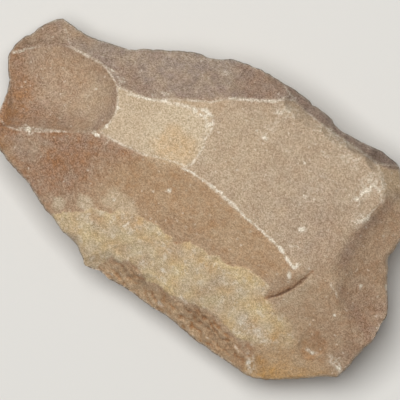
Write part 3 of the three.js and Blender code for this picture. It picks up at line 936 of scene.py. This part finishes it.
def spread_marks(stains, x, y, crumbs):
    """Adds every stroke, the listed specks and a sprinkling of random ones."""
    bent = jagged(x, y, 1.1, 0.3, 170)
    for stain, strokes in STROKES.items():
        broken = 0.35 + 0.65 * crumbs if stain == "bruise_and_highlight" else 1
        for amount, width, line in strokes:
            more(stains, stain, amount * ease(FULL - beside(line, *bent) / (0.5 * width)) * broken)
    ragged = 0.3 * lumps(x, y, 1.1, 179)
    for px, py, radius in SPECKS:
        far = np.hypot(x - px, y - py) + ragged
        more(stains, "bruise_and_highlight", SPECK * ease(FULL - far / radius))
    more(stains, "bruise_and_highlight", RANDOM_SPECK * ease((lumps(x, y, 1.1, 178) - 0.62) / 0.25))
    more(stains, "dirt_and_shade", RANDOM_DIRT * ease((-lumps(x, y, 1.5, 178) - 0.55) / 0.3))


# %% [markdown]
# Sharp arrises and the rim are scuffed whitish, because their grains took every knock. Scars of
# one family flowed into each other early, so the arrises between them are too old and soft to
# show white. Last of all, every stain is thicker here and thinner there.

# %% Scuffs and mottling
ARRIS_SCUFF, RIM_SCUFF = 0.5, 0.5
NEAR_SIDE = ("shoulder", "flank", "tip_flank", "cortex", "crushed_edge", "near_corner", "butt_hollow")
TOP = ("pale_scar", "plateau")
UPPER_FAMILIES = {scar: scar for scar in UPPER_SCARS}
UPPER_FAMILIES |= {scar: NEAR_SIDE[0] for scar in NEAR_SIDE} | {scar: TOP[0] for scar in TOP}


def scuffs(side, x, y, distance):
    """Whitish crushed grains along sharp arrises and the rim, broken into crumbs."""
    if side == UPPER:
        away = arris_way(side, x, y, UPPER_FAMILIES)[2]
        sharp = ease(1 - worn(x, y) / 0.5)
    else:
        away = arris_way(side, x, y)[2]
        sharp = ease(0.5 + 1.2 * lumps(x, y, 9, 182))
    on_arris = ARRIS_SCUFF * sharp * ease(1.2 - away / 0.45)
    return (0.3 + 0.7 * dapple(x, y)) * (on_arris + RIM_SCUFF * ease(1.1 - distance / 0.8))


def mottled(stains, x, y, seed):
    """Stains that are thicker here and thinner there."""
    for number, stain in enumerate(("patina", "iron", "pale", "cortex", "ochre")):
        cloud = 0.2 * lumps(x, y, 7, seed + number) + 0.22 * lumps(x, y, 2.3, seed + 10 + number)
        stains[stain] = stains[stain] * (1 + cloud)
    for number, (stain, amount) in enumerate((("patina", 0.1), ("iron", 0.09), ("pale", 0.05))):
        stains[stain] = stains[stain] + amount * lumps(x, y, 3.6, seed + 20 + number)
    return {stain: np.clip(amount, 0, 1) for stain, amount in stains.items()}


# %% Stains of the special places
def stain_skin(stains, x, y, skin, pale_part):
    """The yellow of the old skin, with clouds of the other stains, and the pale scar's wash."""
    for stain in ("iron", "patina"):
        stains[stain] = stains[stain] * (1 - skin) * (1 - 0.8 * pale_part)
    stains["cortex"] = skin * (0.3 + 0.5 * lumps(x, y, 6, 173))
    more(stains, "ochre", skin * (0.12 + 0.24 * lumps(x, y, 4.2, 174)))
    more(stains, "iron", skin * (0.06 + 0.4 * np.maximum(0, lumps(x, y, 3.6, 175))))
    more(stains, "patina", skin * 0.6 * np.maximum(0, lumps(x, y, 4.6, 176)))
    more(stains, "bruise_and_highlight", skin * 0.4 * dapple(x + 30, y) * ease(1.6 * lumps(x, y, 2.4, 177)))
    stains["pale"] = stains["pale"] + 0.22 * skin + 0.12 * pale_part


def paint_relief_light(stains, x, y, shares):
    """Dirt and painted shade in the pits of the crushed strip, dirt and painted shadow in the crack,
    and painted highlights on the tops between the pits.
    """
    crushed, depth_below = crushed_share(x, y, shares), -crushed_steps(x, y)
    more(stains, "dirt_and_shade", 0.42 * crushed * ease((depth_below - 0.8) / 0.5))
    more(stains, "pale", 0.35 * crushed * ease((0.38 - depth_below) / 0.3))
    out, opening = crack_place(x, y)
    more(stains, "dirt_and_shade", 0.35 * opening * ease(1.2 - np.abs(out) / 0.35))


# %% Stains of every vertex
upper_shares, under_shares = upper_scars_at[0], under_scars_at[0]
upper_stains = scar_tones(UPPER_TONES, upper_shares)
crumbs = dapple(ux, uy)
spread_patches(upper_stains, ux, uy, crumbs)
spread_marks(upper_stains, ux, uy, crumbs)
pale_part = pale_share(ux, uy) * (upper_shares["pale_scar"] + upper_shares["plateau"])
stain_skin(upper_stains, ux, uy, cortex_share(ux, uy), pale_part)
paint_relief_light(upper_stains, ux, uy, upper_shares)
more(upper_stains, "bruise_and_highlight", scuffs(UPPER, ux, uy, upper_distance))
upper_stains = mottled(upper_stains, ux, uy, 190)

under_stains = scar_tones(UNDER_TONES, under_shares)
more(under_stains, "bruise_and_highlight", scuffs(UNDER, lx, ly, under_distance))
under_stains = mottled(under_stains, lx, ly, 230)

for stain in STAINS:
    above, below = upper_stains[stain], under_stains[stain]
    change = below[:count] - above[:count]
    between = [above[:count] + change * row / WALL_ROWS for row in range(1, WALL_ROWS)]
    amount = np.concatenate((above, *between, below)).astype(np.float32)
    mesh.attributes.new(stain, "FLOAT", "POINT").data.foreach_set("value", amount)
    print(f"{stain}: {amount.mean():.2f} on average")

# %% [markdown]
# ## Quartzite
# Quartzite is sandstone whose quartz grains have fused. Knapped by a hammerstone, it breaks to a
# sugary face: grains of a third of a millimetre or so, each a slightly different tan and tilted
# its own way, so that the surface is matt and finely speckled. The colours are hex values, as a
# colour chart gives them, turned by one function to the linear values that light needs. Quartz
# has an IOR of 1.54 and no metal in it. A broken face is rough, about 0.85.

# %% Colours and nodes
STONE = "#c2ad90"
TINTS = {
    "patina": "#978679",
    "iron": "#9c6f49",
    # pale: leached stone, and painted highlights on the crushed tops and the crack's lip
    "pale": "#d6c6a8",
    "cortex": "#d6c08f",
    "ochre": "#c4924c",
    # whitish: crushed grains, and a painted highlight on the spall's rim
    "bruise_and_highlight": "#e8dcc6",
    # dark brown: dirt, and painted shade in the crack, the pits and the hollows
    "dirt_and_shade": "#4a382b",
}
QUARTZ_IOR = 1.54


def linear(hex_colour):
    """A hex colour as linear red, green, blue and alpha."""
    channels = [int(hex_colour[i : i + 2], 16) / 255 for i in (1, 3, 5)]
    return [c / 12.92 if c <= 0.04045 else ((c + 0.055) / 1.055) ** 2.4 for c in channels] + [1]


def add(tree, kind, settings=None, links=None):
    """Adds a node. Settings are properties or input values, and links are inputs fed by sockets."""
    node = tree.nodes.new(kind)
    for name, value in (settings or {}).items():
        if isinstance(name, str) and hasattr(node, name):
            setattr(node, name, value)
        else:
            node.inputs[name].default_value = value
    for name, socket in (links or {}).items():
        tree.links.new(socket, node.inputs[name])
    return node


# %% Stain colours, one over the other
MIX_FACTOR, MIX_UNDER, MIX_OVER, MIX_RESULT = 0, 6, 7, 2  # sockets of a Mix node for colours
CLOUD_MM = 2.2
quartzite = bpy.data.materials.new("weathered_quartzite")
quartzite.use_nodes = True
tree = quartzite.node_tree
tree.nodes.clear()
place = add(tree, "ShaderNodeTexCoord").outputs["Object"]
clouds = add(
    tree, "ShaderNodeTexNoise",
    {"Scale": 1 / (CLOUD_MM * MM), "Detail": 4, "Roughness": 0.6}, {"Vector": place},
)
patchy = add(
    tree, "ShaderNodeMapRange",
    {"From Min": 0.3, "From Max": 0.7, "To Min": 0.72, "To Max": 1.28},
    {"Value": clouds.outputs["Fac"]},
)
colour, stain_amounts = None, {}
for stain, tint in TINTS.items():
    stain_amounts[stain] = add(tree, "ShaderNodeAttribute", {"attribute_name": stain}).outputs["Fac"]
    amount = add(
        tree, "ShaderNodeMath", {"operation": "MULTIPLY", "use_clamp": True},
        {0: stain_amounts[stain], 1: patchy.outputs[0]},
    )
    mixed = add(
        tree, "ShaderNodeMix", {"data_type": "RGBA", MIX_OVER: linear(tint)},
        {MIX_FACTOR: amount.outputs[0]},
    )
    if colour is None:
        mixed.inputs[MIX_UNDER].default_value = linear(STONE)
    else:
        tree.links.new(colour, mixed.inputs[MIX_UNDER])
    colour = mixed.outputs[MIX_RESULT]

# %% [markdown]
# The grains are cells of a Voronoi pattern. Many real grains are finer than a third of a
# millimetre, but cells of that size are the finest that still show, so all are drawn as coarse.
# Each cell has its own lightness, with finer dust over it. Dark grains are warmer than the stone
# and light ones whiter, because iron hides in the clefts and clear quartz shines through. Under
# patina the grains stand out most. The same patterns raise the surface by up to a fifth of a
# millimetre through Bump, which bends the light without moving a vertex.

# %% Grains
GRAIN_MM, DUST_MM = 0.34, 0.3
GRAIN_DARK, GRAIN_LIGHT = (0.5, 0.43, 0.31, 1), (1.5, 1.57, 1.74, 1)  # times the stained colour
FAINTEST_GRAIN = 0.66
grains = add(tree, "ShaderNodeTexVoronoi", {"Scale": 1 / (GRAIN_MM * MM)}, {"Vector": place})
one_grain = add(tree, "ShaderNodeSeparateColor", {}, {"Color": grains.outputs["Color"]})
dust = add(tree, "ShaderNodeTexNoise", {"Scale": 1 / (DUST_MM * MM), "Detail": 2}, {"Vector": place})
spread_dust = add(
    tree, "ShaderNodeMapRange", {"From Min": 0.2, "From Max": 0.8, "To Min": -0.03, "To Max": 0.23},
    {"Value": dust.outputs["Fac"]},
)
lightness = add(
    tree, "ShaderNodeMath", {"operation": "MULTIPLY_ADD", 1: 0.8, "use_clamp": True},
    {0: one_grain.outputs["Red"], 2: spread_dust.outputs[0]},
)
grain_colour = add(
    tree, "ShaderNodeMix", {"data_type": "RGBA", MIX_UNDER: GRAIN_DARK, MIX_OVER: GRAIN_LIGHT},
    {MIX_FACTOR: lightness.outputs[0]},
)
grain_strength = add(
    tree, "ShaderNodeMapRange", {"To Min": FAINTEST_GRAIN, "To Max": 1.0},
    {"Value": stain_amounts["patina"]},
)
grainy = add(
    tree, "ShaderNodeMix", {"data_type": "RGBA", "blend_type": "MULTIPLY"},
    {
        MIX_FACTOR: grain_strength.outputs[0], MIX_UNDER: colour,
        MIX_OVER: grain_colour.outputs[MIX_RESULT],
    },
)

# %% Roughness and bump
ROUGHNESS_FROM, ROUGHNESS_TO = 0.74, 0.95
GRAIN_HEIGHT_MM = 0.2
roughness = add(
    tree, "ShaderNodeMapRange", {"To Min": ROUGHNESS_FROM, "To Max": ROUGHNESS_TO},
    {"Value": one_grain.outputs["Green"]},
)
grain_height = add(
    tree, "ShaderNodeMath", {"operation": "MULTIPLY_ADD", 1: 0.7},
    {0: one_grain.outputs["Blue"], 2: dust.outputs["Fac"]},
)
bump = add(
    tree, "ShaderNodeBump", {"Strength": 1.0, "Distance": GRAIN_HEIGHT_MM * MM},
    {"Height": grain_height.outputs[0]},
)
shader = add(
    tree, "ShaderNodeBsdfPrincipled", {"IOR": QUARTZ_IOR, "Metallic": 0.0},
    {
        "Base Color": grainy.outputs[MIX_RESULT], "Roughness": roughness.outputs[0],
        "Normal": bump.outputs[0],
    },
)
add(tree, "ShaderNodeOutputMaterial", {}, {"Surface": shader.outputs[0]})
print("quartzite:", len(tree.nodes), "nodes")

# %% [markdown]
# ## Weathered skin, with Geometry Nodes
# Over the whole stone runs a last fine roughness, a few hundredths of a millimetre high, that
# frost and soil left. It follows the surface in every direction, walls and underside too, so it
# suits Geometry Nodes: each point moves along its own normal, by a noise read at its place. It
# only ever moves inwards. The tree has named inputs for its sizes, and its fixed seed is the
# fourth coordinate of the noise.

# %% Geometry Nodes tree
SKIN_INPUTS = {
    "Grain size": 1.5 * MM, "Grain depth": 0.07 * MM, "Lump size": 5 * MM, "Lump depth": 0.1 * MM,
    "Seed": 3.0,
}
skin_tree = bpy.data.node_groups.new("weathered_skin", "GeometryNodeTree")
sockets = skin_tree.interface
sockets.new_socket("Geometry", in_out="INPUT", socket_type="NodeSocketGeometry")
kinds = {name: "NodeSocketFloat" for name in SKIN_INPUTS} | {"Finish": "NodeSocketMaterial"}
identifier = {
    name: sockets.new_socket(name, in_out="INPUT", socket_type=kind).identifier
    for name, kind in kinds.items()
}
sockets.new_socket("Geometry", in_out="OUTPUT", socket_type="NodeSocketGeometry")

given = add(skin_tree, "NodeGroupInput").outputs
position = add(skin_tree, "GeometryNodeInputPosition").outputs[0]
normal = add(skin_tree, "GeometryNodeInputNormal").outputs[0]


def inward(size, depth):
    """A depth from 0 to the given one, by a noise of the given size."""
    fineness = add(skin_tree, "ShaderNodeMath", {"operation": "DIVIDE", 0: 1.0}, {1: given[size]})
    noise = add(
        skin_tree, "ShaderNodeTexNoise", {"noise_dimensions": "4D", "Detail": 1.0},
        {"Vector": position, "W": given["Seed"], "Scale": fineness.outputs[0]},
    )
    product = {0: noise.outputs[0], 1: given[depth]}
    return add(skin_tree, "ShaderNodeMath", {"operation": "MULTIPLY"}, product).outputs[0]


depth = add(
    skin_tree, "ShaderNodeMath", {"operation": "ADD"},
    {0: inward("Grain size", "Grain depth"), 1: inward("Lump size", "Lump depth")},
)
below_skin = add(
    skin_tree, "ShaderNodeMath", {"operation": "MULTIPLY", 1: -1.0}, {0: depth.outputs[0]}
)
offset = add(
    skin_tree, "ShaderNodeVectorMath", {"operation": "SCALE"},
    {0: normal, "Scale": below_skin.outputs[0]},
)
moved = add(
    skin_tree, "GeometryNodeSetPosition", {},
    {"Geometry": given["Geometry"], "Offset": offset.outputs[0]},
)
real = add(skin_tree, "GeometryNodeRealizeInstances", {}, {"Geometry": moved.outputs[0]})
finished = add(
    skin_tree, "GeometryNodeSetMaterial", {},
    {"Geometry": real.outputs[0], "Material": given["Finish"]},
)
add(skin_tree, "NodeGroupOutput", {}, {"Geometry": finished.outputs[0]})

# %% The finished stone
blank = bpy.data.objects.new("stone_before_weathering", mesh)
bpy.context.scene.collection.objects.link(blank)
weathering = blank.modifiers.new("weathered_skin", "NODES")
weathering.node_group = skin_tree
for name, value in SKIN_INPUTS.items():
    weathering[identifier[name]] = value
weathering[identifier["Finish"]] = quartzite
bpy.context.view_layer.update()
graph = bpy.context.evaluated_depsgraph_get()
weathered = bpy.data.meshes.new_from_object(blank.evaluated_get(graph))
weathered.name = "knapped_stone"
bpy.data.objects.remove(blank)
stone = bpy.data.objects.new("knapped_stone", weathered)
bpy.context.scene.collection.objects.link(stone)
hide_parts("hand_axe")
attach(stone, "root")
print("finished stone:", len(weathered.polygons), "faces,", [m.name for m in weathered.materials])

# %% [markdown]
# ## Floor, light and camera
# The stone lies on a pale floor. A broad soft lamp hangs nearly overhead, as for a museum's
# catalogue, so that flat faces are bright and steep ones grow dark by themselves. A weak light
# from all round keeps the sides readable. The camera looks straight down through a long lens,
# turned so that the tool lies slanting in the frame.

# %% Floor
FLOOR_SIZE = 6.0
floor_mesh = bpy.data.meshes.new("floor")
half = FLOOR_SIZE / 2
floor_corners = [(-half, -half, 0), (half, -half, 0), (half, half, 0), (-half, half, 0)]
floor_mesh.from_pydata(floor_corners, [], [(0, 1, 2, 3)])
floor = bpy.data.objects.new("floor", floor_mesh)
bpy.context.scene.collection.objects.link(floor)
paper = bpy.data.materials.new("pale_paper")
paper.use_nodes = True
paper_shader = paper.node_tree.nodes["Principled BSDF"]
paper_shader.inputs["Base Color"].default_value = linear("#d9d7d2")
paper_shader.inputs["Roughness"].default_value = 0.9
floor_mesh.materials.append(paper)

# %% Light
LAMP_HEIGHT, LAMP_SIZE, LAMP_POWER = 1.7, 1.1, 33
LAMP_ASIDE = (-0.36, 0.1)
ROOM_LIGHT = 0.14
lamp_data = bpy.data.lights.new("soft_lamp", "AREA")
lamp_data.shape = "SQUARE"
lamp_data.size = LAMP_SIZE
lamp_data.energy = LAMP_POWER
lamp = bpy.data.objects.new("soft_lamp", lamp_data)
lamp.location = (*LAMP_ASIDE, LAMP_HEIGHT)
lamp.rotation_euler = (-lamp.location).to_track_quat("-Z", "Y").to_euler()
bpy.context.scene.collection.objects.link(lamp)
world = bpy.data.worlds.new("studio")
world.use_nodes = True
background = world.node_tree.nodes["Background"]
background.inputs["Color"].default_value = linear("#f2f2f2")
background.inputs["Strength"].default_value = ROOM_LIGHT
bpy.context.scene.world = world
bpy.context.scene.view_settings.view_transform = "Standard"

# %% Camera
VIEW_WIDTH, VIEW_HEIGHT_ABOVE, VIEW_MIDDLE = 133.5, 20, (3.15, -4.12)
VIEW_TURN = 35
CAMERA_HEIGHT, SENSOR = 4000, 36
camera_data = bpy.data.cameras.new("camera")
camera_data.sensor_width = SENSOR
camera_data.lens = SENSOR * (CAMERA_HEIGHT - VIEW_HEIGHT_ABOVE) / VIEW_WIDTH
camera_data.clip_start, camera_data.clip_end = 0.05, 20
camera = bpy.data.objects.new("camera", camera_data)
camera.location = (VIEW_MIDDLE[0] * MM, VIEW_MIDDLE[1] * MM, CAMERA_HEIGHT * MM)
camera.rotation_euler = (0, 0, np.radians(VIEW_TURN))
bpy.context.scene.collection.objects.link(camera)
bpy.context.scene.camera = camera
print(f"camera: {camera_data.lens:.0f} mm lens")
